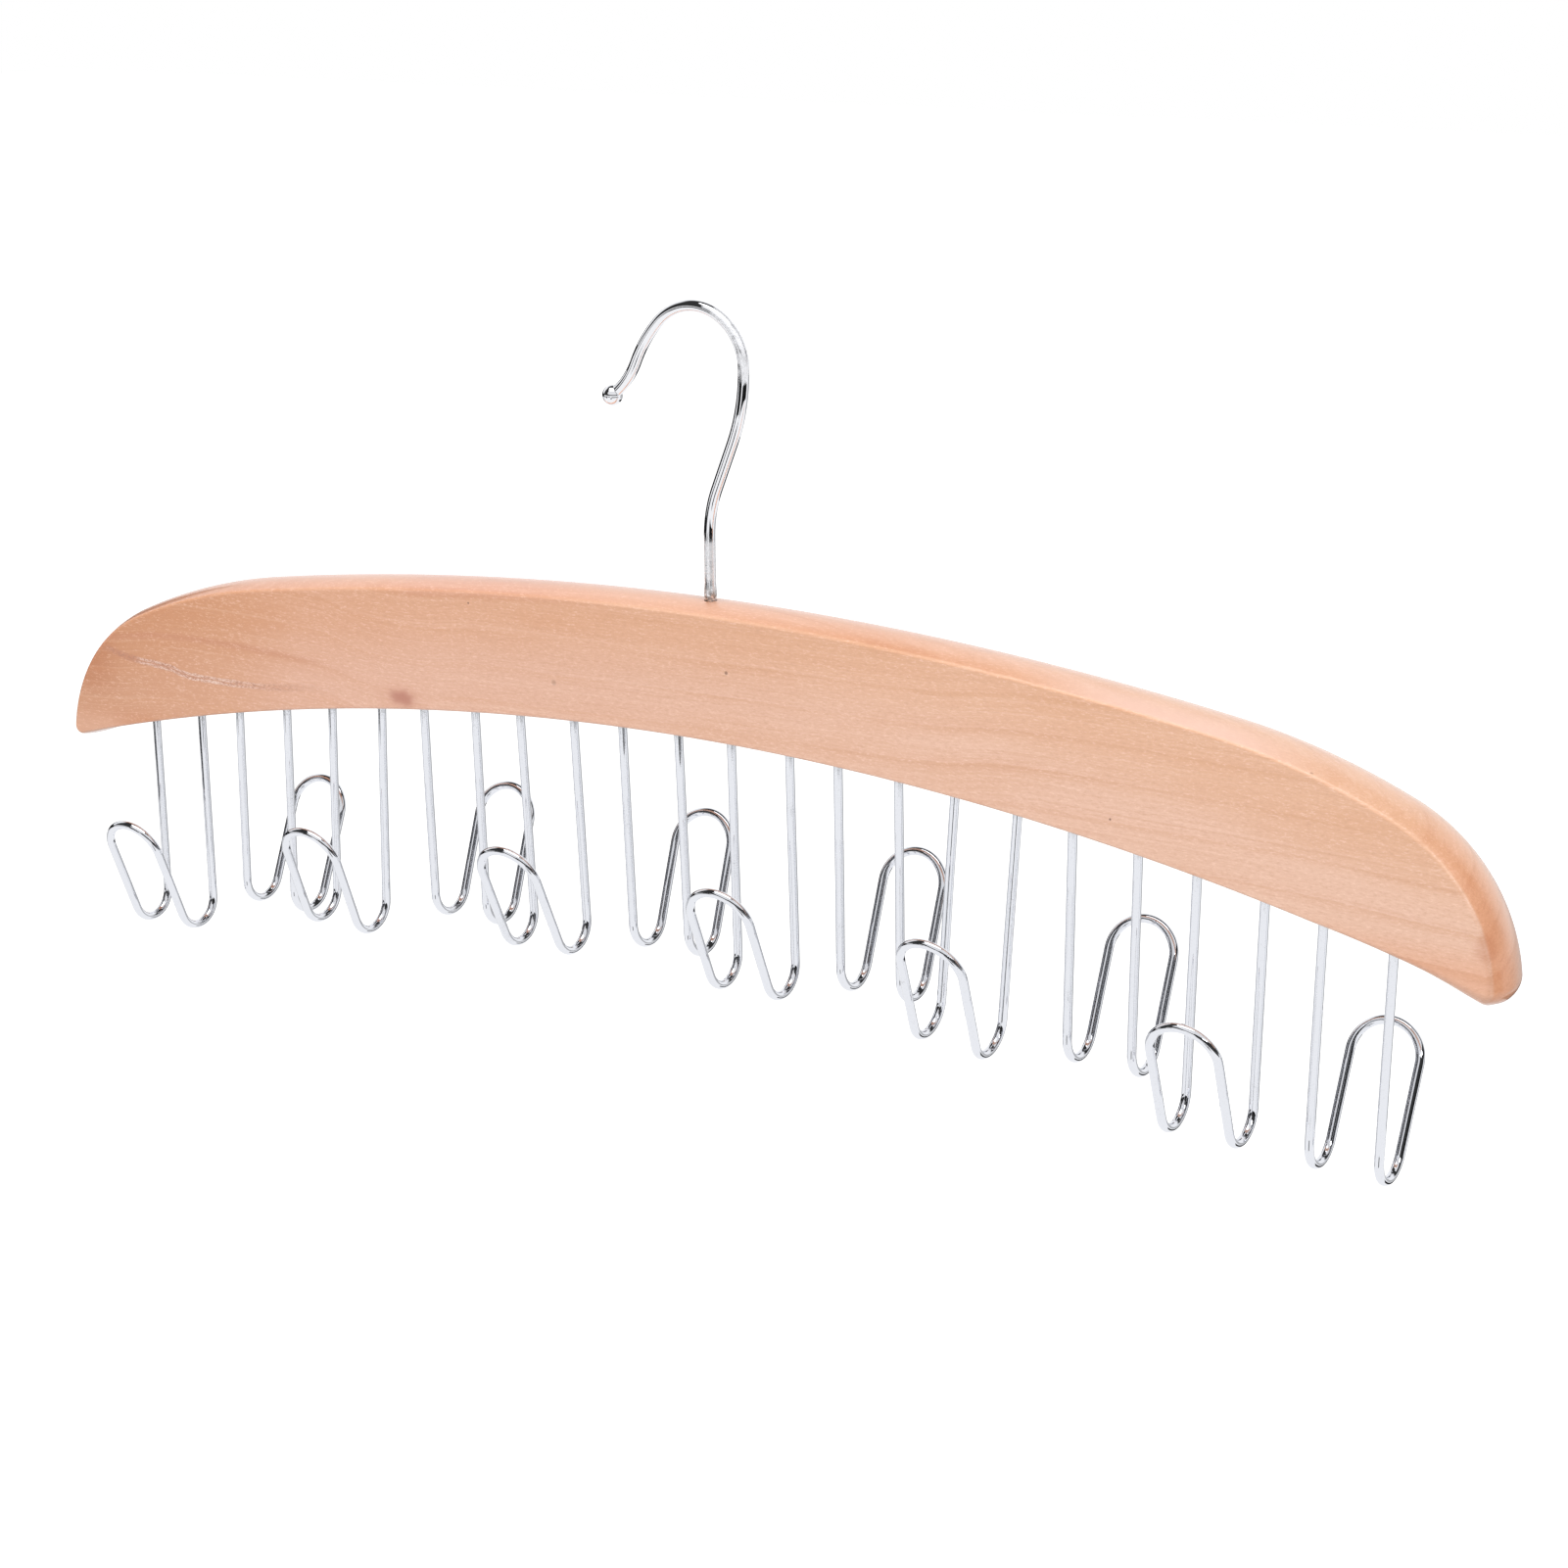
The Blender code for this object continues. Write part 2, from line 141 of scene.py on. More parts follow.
class Graph:
    """A material or world whose nodes are added in a line or two each."""

    def __init__(self, owner):
        owner.use_nodes = True
        self.tree = owner.node_tree
        self.tree.nodes.clear()

    def node(self, kind, inputs=(), **settings):
        made = self.tree.nodes.new(kind)
        for name, value in settings.items():
            setattr(made, name, value)
        for name, value in dict(inputs).items():
            self.feed(made.inputs[name], value)
        return made

    def feed(self, socket, value):
        if isinstance(value, bpy.types.NodeSocket):
            self.tree.links.new(value, socket)
        else:
            socket.default_value = value

    def math(self, operation, *values):
        made = self.node("ShaderNodeMath", operation=operation)
        for socket, value in zip(made.inputs, values):
            self.feed(socket, value)
        return made.outputs[0]

    def plus(self, total, *others):
        for other in others:
            total = self.math("ADD", total, other)
        return total

    def less(self, a, b):
        return self.math("SUBTRACT", a, b)

    def times(self, product, *others):
        for other in others:
            product = self.math("MULTIPLY", product, other)
        return product

    def most(self, a, b):
        return self.math("MAXIMUM", a, b)

    def span(self, value, low, high, to_low=0.0, to_high=1.0, smooth=True):
        """Value from low to high, mapped to to_low to to_high and held beyond them."""
        made = self.node("ShaderNodeMapRange", interpolation_type="SMOOTHSTEP" if smooth else "LINEAR")
        names = ("Value", "From Min", "From Max", "To Min", "To Max")
        for name, number in zip(names, (value, low, high, to_low, to_high)):
            self.feed(made.inputs[name], number)
        return made.outputs["Result"]

    def band(self, value, start, full, last_full, end):
        """One from full to last_full, dying away to nothing at start and at end."""
        return self.times(self.span(value, start, full), self.span(value, end, last_full))

    def mix(self, share, a, b, blend="MIX"):
        """Colour a turning into colour b by share."""
        made = self.node("ShaderNodeMix", data_type="RGBA", blend_type=blend)
        self.feed(made.inputs["Factor"], share)
        self.feed(made.inputs[6], a)
        self.feed(made.inputs[7], b)
        return made.outputs[2]

    def tint(self, share, colour, tone):
        """The colour multiplied by the tone, by share."""
        return self.mix(share, colour, tone, "MULTIPLY")

    def noise(self, place, scale, detail=3.0, rough=0.5):
        inputs = {"Vector": place, "Scale": scale, "Detail": detail, "Roughness": rough}
        return self.node("ShaderNodeTexNoise", inputs).outputs["Fac"]

    def stretch(self, place, scales, offset=(0, 0, 0)):
        """The place with each axis multiplied by its own scale."""
        made = self.node("ShaderNodeMapping", {"Vector": place, "Scale": scales, "Location": offset})
        return made.outputs["Vector"]

    def combine(self, x, y, z):
        return self.node("ShaderNodeCombineXYZ", {"X": x, "Y": y, "Z": z}).outputs[0]

    def curve(self, value, low, high, bottom, top, points):
        """A smooth curve through points of (value, result); results lie from bottom to top."""
        made = self.node("ShaderNodeFloatCurve")
        self.feed(made.inputs["Value"], self.span(value, low, high, smooth=False))
        knots = made.mapping.curves[0].points
        places = [((a - low) / (high - low), (b - bottom) / (top - bottom)) for a, b in points]
        while len(knots) < len(places):
            knots.new(0.5, 0.5)
        for knot, here in zip(knots, places):
            knot.location = here
        made.mapping.update()
        return self.span(made.outputs[0], 0.0, 1.0, bottom, top, smooth=False)

    def ramp(self, share, stops):
        """A colour ramp through stops of (share, colour)."""
        made = self.node("ShaderNodeValToRGB", {"Fac": share})
        marks = made.color_ramp.elements
        while len(marks) < len(stops):
            marks.new(0.5)
        for mark, (position, colour) in zip(marks, stops):
            mark.position = position
            mark.color = colour
        return made.outputs["Color"]

    def place(self):
        return self.node("ShaderNodeTexCoord").outputs["Object"]

    def axes(self, place):
        made = self.node("ShaderNodeSeparateXYZ", {"Vector": place})
        return made.outputs["X"], made.outputs["Y"], made.outputs["Z"]

    def bump(self, height, strength, distance):
        made = self.node("ShaderNodeBump", {"Height": height, "Strength": strength, "Distance": distance})
        return made.outputs[0]

    def principled(self, inputs):
        """Make the material's surface a Principled shader with these inputs."""
        shader = self.node("ShaderNodeBsdfPrincipled", inputs)
        self.node("ShaderNodeOutputMaterial", {"Surface": shader.outputs[0]})


def srgb(red, green, blue):
    """A colour given in 0 to 255 display values, in linear light."""
    def linear(value):
        share = value / 255
        return share / 12.92 if share <= 0.04045 else ((share + 0.055) / 1.055) ** 2.4
    return (linear(red), linear(green), linear(blue), 1)


# The tables below run this far each way from the bar's middle
GRAIN_REACH = 0.225

# How the growth rings lie along the bar, and the cracked seam: (x, height over the lower edge)
RING_LIE = (
    (-0.225, 0.0002), (-0.202, 0.0016), (-0.164, 0.0046), (-0.124, 0.0036), (-0.096, -0.0004),
    (-0.070, 0.0014), (-0.042, 0.0021), (0.0, 0.0030), (0.070, 0.0038), (0.100, 0.0064),
    (0.140, 0.0061), (0.170, 0.0054), (0.195, 0.0041), (0.225, 0.0024),
)
SEAM_LIE = (
    (-0.225, -0.0002), (-0.205, -0.0019), (-0.194, -0.0039), (-0.179, -0.0049), (-0.168, -0.0063),
    (-0.141, -0.0054), (-0.118, -0.0034), (0.225, -0.0034),
)

# The wood's colour from the left-hand end to the right-hand end
WOOD_ALONG = (
    (0.0, srgb(196, 140, 104)), (0.09, srgb(207, 151, 117)), (0.15, srgb(212, 158, 126)),
    (0.21, srgb(221, 172, 147)), (0.4, srgb(226, 180, 156)), (0.6, srgb(227, 182, 157)),
    (0.8, srgb(228, 184, 159)), (1.0, srgb(230, 187, 162)),
)

# Height from one growth ring to the next, and how far the rings rise for each metre of depth
RING_SPACING = 0.0093
RING_LEAN = 0.45

# The knot on the front face: its middle, and its radii along x, y and z
KNOT_MIDDLE = (-0.0947, -0.0088, -0.0022)
KNOT_RADII = (0.0046, 0.011, 0.0023)

# Specks on the front face, and last a warm stain at the right tip: x, height, size, how dark, colour
SPECK_TONE = srgb(120, 76, 60)
SPECKS = (
    (-0.0705, 0.0273, 0.0003, 0.8, SPECK_TONE), (0.0118, 0.0189, 0.0005, 0.7, SPECK_TONE),
    (-0.0429, 0.0091, 0.0008, 0.3, SPECK_TONE), (0.1215, -0.0027, 0.0003, 0.9, SPECK_TONE),
    (0.2172, -0.0185, 0.0036, 0.34, srgb(190, 112, 72)),
)


class WoodGraph(Graph):
    """The wood's nodes. Places are in the bar's own frame, from the middle of its lower edge."""

    def __init__(self, owner):
        super().__init__(owner)
        self.where = self.place()
        self.x, self.y, self.z = self.axes(self.where)
        self.depth = self.plus(self.y, HALF_THICKNESS)
        self.wobble = self.less(self.cloud((260, 260, 420)), 0.5)

        # Growth rings: surfaces that lie along the bar, lean back, and dip round the knot
        lie = self.curve(self.x, -GRAIN_REACH, GRAIN_REACH, -0.002, 0.008, RING_LIE)
        self.sway = self.times(self.less(self.cloud((14, 60, 60)), 0.5), 0.0022)
        level = self.plus(self.less(lie, self.z), self.times(self.depth, RING_LEAN), self.sway)
        self.level = self.math("DIVIDE", level, RING_SPACING)

    def cloud(self, scales, rough=0.5):
        """Noise with its own scale along each axis."""
        return self.noise(self.stretch(self.where, scales), 1.0, 3.0, rough)

    def radii_from(self, middle, radii):
        """How far each place is from the middle of an ellipsoid, in its radii."""
        offset = [-centre / radius for centre, radius in zip(middle, radii)]
        near = self.stretch(self.where, [1 / radius for radius in radii], offset)
        return self.node("ShaderNodeVectorMath", {"Vector": near}, operation="LENGTH").outputs["Value"]


def ring_colour(g):
    """The colour along the bar with its growth rings, and the share of dark late wood."""
    base = g.ramp(g.span(g.x, -GRAIN_REACH, GRAIN_REACH, smooth=False), WOOD_ALONG)
    height = g.plus(g.z, g.times(g.x, g.x, 0.625))
    colour = g.tint(g.span(height, 0.010, 0.030), base, srgb(251, 243, 230))

    turn = g.math("FRACT", g.level)
    late = g.most(g.span(turn, 0.0, 0.24, 1.0, 0.0), g.span(turn, 0.955, 1.0))
    patchy = g.noise(g.combine(g.times(g.x, 17.0), g.math("FLOOR", g.level), 0.0), 1.0, 2.0)
    late = g.times(late, g.span(patchy, 0.35, 0.62, 0.05, 0.36))
    colour = g.mix(late, colour, srgb(210, 152, 114))

    # A darker vein along one ring at the left
    vein = g.times(g.span(g.math("ABSOLUTE", g.level), 0.17, 0.02), g.span(g.x, -0.105, -0.15))
    colour = g.mix(g.times(vein, 0.4), colour, srgb(196, 132, 104))

    # A warmer strip of the face just under its top edge, left of the middle
    drop = g.less(BAR_HEIGHT - CROWN_HEIGHT, g.plus(g.z, g.times(g.x, g.x, 0.5 / TOP_RADIUS)))
    strip = g.times(g.band(g.x, -0.105, -0.085, -0.06, -0.02), g.span(g.plus(drop, g.sway), 0.0026, 0.0012))
    return g.mix(g.times(strip, 0.3), colour, srgb(206, 138, 110)), late


def grain_colour(g, colour):
    """Adds soft clouds, fine streaks and short fibres; gives the fibres too."""
    colour = g.tint(g.span(g.cloud((16, 60, 75)), 0.45, 0.75, 0.0, 0.5), colour, srgb(247, 238, 226))
    streak = g.combine(g.times(g.x, 9.0), g.times(g.y, 300.0), g.times(g.level, 14.0))
    streak = g.noise(streak, 1.0, 3.0, 0.6)
    colour = g.mix(g.span(streak, 0.5, 0.74, 0.0, 0.3), colour, srgb(208, 152, 120))
    colour = g.mix(g.span(streak, 0.5, 0.3, 0.0, 0.16), colour, srgb(244, 209, 188))
    fibre = g.cloud((700, 2200, 2600), 0.75)
    colour = g.mix(g.span(fibre, 0.52, 0.7, 0.0, 0.45), colour, srgb(249, 214, 196))
    return g.mix(g.span(fibre, 0.48, 0.3, 0.0, 0.45), colour, srgb(205, 152, 126)), fibre


def side_colour(g, colour):
    """Sets the planed sides and the bar's two ends apart from the faces, with painted shade on the sides and
    a painted sheen on the top.
    """
    # Painted shade: the planed sides are painted a deeper colour than the faces, apart from the right-hand
    # end, to hold down the light and sheen they catch
    painted_side_shade = g.band(g.depth, 0.0002, 0.0009, BAR_THICKNESS - 0.0009, BAR_THICKNESS - 0.0002)
    painted_side_shade = g.times(painted_side_shade, g.span(g.x, 0.05, 0.15, 1.0, 0.0))
    colour = g.tint(painted_side_shade, colour, srgb(252, 242, 238))

    # End grain takes up more varnish: the right-hand end's rim, and the lowest parts of the front
    rim = g.times(g.span(g.depth, 0.0002, 0.0012), g.span(g.depth, 0.003, 0.014, 1.0, 0.3))
    lowest = g.times(g.span(g.z, -0.017, -0.026, 0.0, 0.5), g.span(g.depth, 0.002, 0.0006))
    rim = g.most(g.times(rim, g.span(g.x, 0.190, 0.224)), lowest)
    colour = g.tint(rim, colour, srgb(247, 214, 186))

    # Painted sheen: a paler stretch of the rounded top next to its front edge, towards the right, where the
    # top catches the light
    painted_top_sheen = g.times(g.band(g.x, 0.090, 0.128, 0.148, 0.182), g.band(g.depth, 0.0001, 0.0008, 0.002, 0.0085))
    colour = g.mix(g.times(painted_top_sheen, 0.66), colour, srgb(240, 204, 190))

    # The left-hand end is deeper above its tip, and paler at the tip
    deeper = g.times(g.span(g.x, -0.196, -0.210), g.span(g.z, -0.020, -0.010))
    colour = g.tint(deeper, colour, srgb(244, 231, 222))
    paler = g.times(g.span(g.x, -0.190, -0.206), g.span(g.z, -0.018, -0.026))
    return g.mix(g.times(paler, 0.35), colour, srgb(234, 194, 170))


def knot_colour(g, colour):
    far = g.plus(g.radii_from(KNOT_MIDDLE, KNOT_RADII), g.times(g.wobble, 0.9))
    colour = g.mix(g.span(far, 2.6, 0.4, 0.0, 0.4), colour, srgb(205, 148, 124))
    return g.mix(g.span(far, 1.45, 0.1, 0.0, 0.8), colour, srgb(180, 116, 98))


def seam_colour(g, colour):
    """Adds the cracked seam on the front, from the left to the knot; gives it and its pale flecks, which are
    painted glints along the crack.
    """
    middle = g.curve(g.x, -GRAIN_REACH, GRAIN_REACH, -0.008, 0.0, SEAM_LIE)
    away = g.math("ABSOLUTE", g.less(g.z, g.plus(middle, g.times(g.wobble, 0.0011))))
    along = g.times(g.band(g.x, -0.2100, -0.198, -0.150, -0.112), g.span(g.depth, 0.004, 0.0015))
    crackle = g.cloud((1300, 1300, 3600), 0.75)
    seam = g.times(along, g.span(away, 0.0015, 0.0004))
    colour = g.mix(g.times(seam, g.span(g.x, -0.178, -0.150, 0.52, 0.24)), colour, srgb(190, 130, 104))

    # Painted glints: pale flecks along both edges of the crack, over its middle stretch
    glint_stretch = g.band(g.x, -0.1945, -0.189, -0.160, -0.134)
    edges = g.math("ABSOLUTE", g.less(away, 0.0006))
    seam_glints = g.times(g.span(edges, 0.0006, 0.0002), g.span(crackle, 0.45, 0.56), g.times(glint_stretch, along))
    colour = g.mix(g.times(seam_glints, 0.75), colour, srgb(236, 212, 200))
    cracks = g.times(seam, g.span(crackle, 0.50, 0.40))
    return g.mix(g.times(cracks, 0.5), colour, srgb(158, 110, 98)), seam, seam_glints


def speck_colour(g, colour):
    """Adds the single specks, and rare pores all over."""
    for across, height, size, darkness, tone in SPECKS:
        far = g.radii_from((across, -HALF_THICKNESS, height), (size,) * 3)
        colour = g.mix(g.span(far, 1.3, 0.5, 0.0, darkness), colour, tone)
    cells = g.node("ShaderNodeTexVoronoi", {"Vector": g.stretch(g.where, (110, 200, 200)), "Scale": 1.0})
    rare = g.span(g.axes(cells.outputs["Color"])[0], 0.93, 0.97)
    pores = g.times(rare, g.span(cells.outputs["Distance"], 0.075, 0.03))
    return g.mix(g.times(pores, 0.6), colour, srgb(150, 104, 84))


def wood_material():
    """Pale close-grained wood under a clear satin varnish; its grain runs along X."""
    material = bpy.data.materials.new("wood")
    g = WoodGraph(material)
    colour, late = ring_colour(g)
    colour, fibre = grain_colour(g, colour)
    colour = side_colour(g, colour)
    colour = knot_colour(g, colour)
    colour, seam, seam_glints = seam_colour(g, colour)
    colour = speck_colour(g, colour)
    relief = g.plus(g.times(fibre, 0.5), g.times(late, -0.4), g.times(seam_glints, 1.2))
    g.principled({
        "Base Color": colour, "IOR": 1.5, "Normal": g.bump(relief, 0.10, 0.0002),
        "Roughness": g.plus(g.span(fibre, 0.3, 0.7, 0.36, 0.5), g.times(seam, 0.15)),
        "Coat Weight": 0.8, "Coat Roughness": 0.13, "Coat IOR": 1.5,
        "Sheen Weight": 0.12, "Sheen Roughness": 0.3, "Sheen Tint": srgb(240, 226, 240),
    })
    return material


def chrome_material(name, tone, bare_places):
    """Bright plating with pits, dull patches, and bare speckled metal where bare_places says.

    bare_places gets the graph and the place, and gives how dull and how darkly speckled it is there.
    """
    material = bpy.data.materials.new(name)
    g = Graph(material)
    place = g.place()
    dull, dark_speckle = bare_places(g, place)
    dull = g.most(dull, g.times(g.span(g.noise(place, 48.0, 2.0), 0.60, 0.72), 0.6))
    grain = g.noise(place, 1500.0, 3.0, 0.7)
    pits = g.times(g.span(grain, 0.55, 0.66), g.plus(0.06, g.times(dull, 0.35)))
    pits = g.most(pits, g.times(dark_speckle, g.span(grain, 0.40, 0.56)))
    lumps = g.times(g.noise(place, 190.0, 2.0), 0.4)
    ripple = g.plus(lumps, g.times(grain, g.plus(0.02, g.times(dull, 0.3))))
    g.principled({
        "Base Color": g.mix(pits, tone, srgb(128, 126, 120)),
        "Metallic": g.span(dull, 0.45, 0.85, 1.0, 0.5),
        "Roughness": g.plus(0.03, g.plus(g.times(dull, 0.24), g.times(pits, 0.22))),
        "Normal": g.bump(ripple, 0.15, 0.0001),
    })
    return material


def belt_wire_places(g, place):
    """The belt hooks' plating is scratched where the wires were pressed into the bar."""
    x, y, z = g.axes(place)
    aside = g.less(x, BAR_ORIGIN.x + ROW_SHIFT)
    edge = g.less(BAR_ORIGIN.z, g.math("DIVIDE", g.times(aside, aside), 2 * UNDER_RADIUS))
    below = g.less(edge, z)
    return g.times(g.span(below, 0.011, 0.002), 0.3), g.times(g.span(below, 0.005, 0.001), 0.35)


def swivel_wire_places(g, place):
    """The swivel hook is dull over its shank and down the back of its crest, and darker and speckled just
    above the crown.
    """
    x, y, z = g.axes(place)
    above = g.less(z, CROWN.z)
    shank = g.times(g.span(above, 0.019, 0.014), 0.85)
    crest = g.times(g.span(x, 0.002, 0.009), g.span(z, -0.018, -0.013), 0.95)
    mottle = g.span(g.noise(place, 420.0, 2.0), 0.3, 0.6, 0.6, 1.0)
    return g.times(g.most(shank, crest), mottle), g.times(g.span(above, 0.0055, 0.001), 0.8)


def steel_material():
    """Dull zinc plating, brushed by the tool that turned the piece."""
    material = bpy.data.materials.new("steel")
    g = Graph(material)
    wear = g.noise(g.place(), 900.0, 4.0, 0.6)
    g.principled({
        "Base Color": g.mix(wear, srgb(180, 181, 184), srgb(214, 215, 219)), "Metallic": 1.0,
        "Roughness": g.span(wear, 0.3, 0.7, 0.24, 0.4), "Normal": g.bump(wear, 0.1, 0.0001),
    })
    return material


# Meshes


def add_object(name, mesh, material):
    item = bpy.data.objects.new(name, mesh)
    bpy.context.scene.collection.objects.link(item)
    mesh.materials.clear()
    mesh.materials.append(material)
    return item


def mesh_from(name, shape):
    bmesh.ops.recalc_face_normals(shape, faces=shape.faces)
    mesh = bpy.data.meshes.new(name)
    shape.to_mesh(mesh)
    shape.free()
    mesh.shade_smooth()
    return mesh


def join_rings(shape, ring, following):
    """Faces between two closed rings of as many corners each."""
    for index in range(len(ring)):
        shape.faces.new((ring[index - 1], ring[index], following[index], following[index - 1]))


def tube_mesh(name, points, radii, sides=28):
    """A closed round wire along the points; its rings follow the line without twisting."""
    shape = bmesh.new()
    across = Vector((0, 1, 0)) if abs((points[1] - points[0]).normalized().y) < 0.9 else Vector((1, 0, 0))
    rings = []
    for index, (point, radius) in enumerate(zip(points, radii)):
        along = (points[min(index + 1, len(points) - 1)] - points[max(index - 1, 0)]).normalized()
        across = (across - along * across.dot(along)).normalized()
        up = along.cross(across)
        ring = []
        for side in range(sides):
            angle = 2 * math.pi * side / sides
            ring.append(shape.verts.new(point + (across * math.cos(angle) + up * math.sin(angle)) * radius))
        rings.append(ring)
    for ring, following in zip(rings, rings[1:]):
        join_rings(shape, ring, following)
    for ring in (rings[0], rings[-1]):
        cap = shape.faces.new(ring)
        for edge in cap.edges:
            edge.smooth = False
    return mesh_from(name, shape)


def direction(angle):
    """The unit direction at an angle turned from +Z towards +X, as (x, z)."""
    return Vector((math.sin(angle), math.cos(angle)))


def under_height(x):
    return math.sqrt(UNDER_RADIUS ** 2 - (x - ROW_SHIFT) ** 2) - UNDER_RADIUS


def circles_meet(centre_a, radius_a, centre_b, radius_b):
    """The right-hand point where two circles meet."""
    apart = centre_b - centre_a
    along = (apart.length_squared + radius_a ** 2 - radius_b ** 2) / (2 * apart.length)
    across = math.sqrt(radius_a ** 2 - along ** 2)
    unit = apart.normalized()
    middle = centre_a + unit * along
    sides = [middle + Vector((unit.y, -unit.x)) * across * sign for sign in (-1, 1)]
    return max(sides, key=lambda point: point.x)


def face_arcs(shift, heel_radius, tip_radius):
    """The right half of the flat face's outline: centre, radius, first and last angle, steps."""
    beyond_top = NOSE_RADIUS + (SHOULDER_RADIUS - NOSE_RADIUS) * math.sin(SHOULDER_ANGLE)
    top_angle = math.asin((FACE_LENGTH / 2 - beyond_top) / (TOP_RADIUS - SHOULDER_RADIUS))
    top = Vector((0, BAR_HEIGHT - CROWN_HEIGHT - EDGE_EASE - TOP_RADIUS))
    shoulder = top + direction(top_angle) * (TOP_RADIUS - SHOULDER_RADIUS)
    nose = shoulder + direction(SHOULDER_ANGLE) * (SHOULDER_RADIUS - NOSE_RADIUS)
    under = Vector((shift, -UNDER_RADIUS))
    heel_angle = math.asin((FACE_LENGTH / 2 - HEEL_LENGTH - shift) / UNDER_RADIUS)
    heel = under + direction(heel_angle) * (UNDER_RADIUS - heel_radius)
    tip = circles_meet(nose, NOSE_RADIUS - tip_radius, heel, heel_radius + EDGE_EASE + tip_radius)
    nose_angle = math.atan2(tip.x - nose.x, tip.y - nose.y)
    tip_angle = math.atan2(tip.x - heel.x, tip.y - heel.y)
    middle_angle = math.asin(-shift / (UNDER_RADIUS + EDGE_EASE))
    return [
        (top, TOP_RADIUS, 0, top_angle, 50),
        (shoulder, SHOULDER_RADIUS, top_angle, SHOULDER_ANGLE, 24),
        (nose, NOSE_RADIUS, SHOULDER_ANGLE, nose_angle, 40),
        (tip, tip_radius, nose_angle, tip_angle + math.pi, 20),
        (heel, -(heel_radius + EDGE_EASE), tip_angle + math.pi, heel_angle + math.pi, 20),
        (under, -(UNDER_RADIUS + EDGE_EASE), heel_angle + math.pi, middle_angle + math.pi, 50),
    ]


def half_outline(shift, heel_radius, tip):
    """Points of the right half: place, outward direction, crown's share, front ease, front inset."""
    tip_radius, tip_crown, tip_fade, tip_ease = tip
    crowns = ((1, 1), (1, 1), (1, 1), (1, tip_crown), (tip_crown, 0), (0, 0))
    eases = ((0, 0), (0, 0), (0, 1), (1, 1), (1, 0), (0, 0))
    arcs = face_arcs(shift, heel_radius, tip_radius)
    half = []
    for arc, (crown, next_crown), (soft, next_soft) in zip(arcs, crowns, eases):
        centre, radius, first, last, steps = arc
        for step in range(steps):
            part = step / steps
            outward = direction(first + (last - first) * part)
            # What grows along an arc does so over its last third
            late = max(0, 3 * part - 2)
            lead = late if next_crown > crown else part
            if not next_crown:
                lead = min(part * tip_fade, 1)
            turn = (1 - math.cos(math.pi * lead)) / 2
            softness = soft + (next_soft - soft) * (late if next_soft > soft else part)
            ease = EDGE_EASE + (tip_ease - EDGE_EASE) * softness
            inset = TIP_INSET * (ease - EDGE_EASE) / (TIP_EASE - EDGE_EASE)
            share = crown + (next_crown - crown) * turn
            half.append((centre + outward * radius, outward, share, ease, inset))
    return half


def face_outline():
    left = half_outline(-ROW_SHIFT, UNDER_RADIUS, LEFT_TIP)
    right = half_outline(ROW_SHIFT, RIGHT_HEEL_RADIUS, RIGHT_TIP)
    middle = (Vector((0, under_height(0) + EDGE_EASE)), direction(math.pi), 0, EDGE_EASE, 0)
    mirror = [(Vector((-p.x, p.y)), Vector((-d.x, d.y)), *rest) for p, d, *rest in reversed(left[1:])]
    return right + [middle] + mirror


def bar_shape():
    """The bar's body, as fine rings of its outline from the front face to the back face."""
    flat_steps, ease_steps = 14, 7
    shape = bmesh.new()
    outline = face_outline()
    inner = HALF_THICKNESS - EDGE_EASE
    depths = [inner * step / flat_steps for step in range(flat_steps)]
    for step in range(ease_steps + 1):
        depths.append(inner + EDGE_EASE * math.sin(math.pi / 2 * step / ease_steps))
    depths = [-depth for depth in reversed(depths[1:])] + depths
    radius = (HALF_THICKNESS ** 2 + CROWN_HEIGHT ** 2) / (2 * CROWN_HEIGHT)
    rings = []
    for y in depths:
        crown_here = math.sqrt(radius ** 2 - y ** 2) - (radius - CROWN_HEIGHT)
        forward = 1 - math.sqrt(1 - (y / HALF_THICKNESS) ** 2) if y < 0 else 0
        ring = []
        for point, outward, crown, front_ease, inset in outline:
            ease = front_ease if y < 0 else EDGE_EASE
            into = min(max(abs(y) - (HALF_THICKNESS - ease), 0), ease)
            lost = ease - math.sqrt(ease ** 2 - into ** 2)
            place = point + outward * (EDGE_EASE + crown_here * crown - lost - inset * forward)
            ring.append(shape.verts.new((place.x, y, place.y)))
        rings.append(ring)
    for ring, following in zip(rings, rings[1:]):
        join_rings(shape, ring, following)
    shape.faces.new(rings[0])
    shape.faces.new(rings[-1])
    return shape


def add_rod(shape, x, bottom, top, diameter, sides, turn=None):
    rod = bmesh.ops.create_cone(
        shape, cap_ends=True, segments=sides,
        radius1=diameter / 2, radius2=diameter / 2, depth=top - bottom,
    )
    bmesh.ops.translate(shape, verts=rod["verts"], vec=(x, 0, (bottom + top) / 2))
    if turn:
        bmesh.ops.transform(shape, verts=rod["verts"], matrix=turn)


def hook_place(index):
    """Where belt hook number index is in the bar's frame, as a matrix."""
    x = ROW_SHIFT + (index - (HOOK_COUNT - 1) / 2 + SHIFT_SHARES[index]) * PITCH
    turn = Matrix.Rotation(math.radians(LEAN_DEGREES[index]), 4, "Y")
    turn = turn @ Matrix.Rotation(math.radians(TILT_DEGREES[index]), 4, "X")
    return Matrix.Translation((x, 0, under_height(x))) @ turn


def cut(item, shapes):
    """Cut each shape from the mesh object for good."""
    for number, shape in enumerate(shapes):
        cutter = bpy.data.objects.new(f"cutter_{number}", mesh_from("cutter", shape))
        bpy.context.scene.collection.objects.link(cutter)
        cutter.location = item.location
        modifier = item.modifiers.new("cut", "BOOLEAN")
        modifier.operation = "DIFFERENCE"
        modifier.solver = "EXACT"
        modifier.object = cutter
        bpy.context.view_layer.update()
        made = bpy.data.meshes.new_from_object(item.evaluated_get(bpy.context.evaluated_depsgraph_get()))
        item.modifiers.clear()
        item.data = made
        bpy.data.objects.remove(cutter)


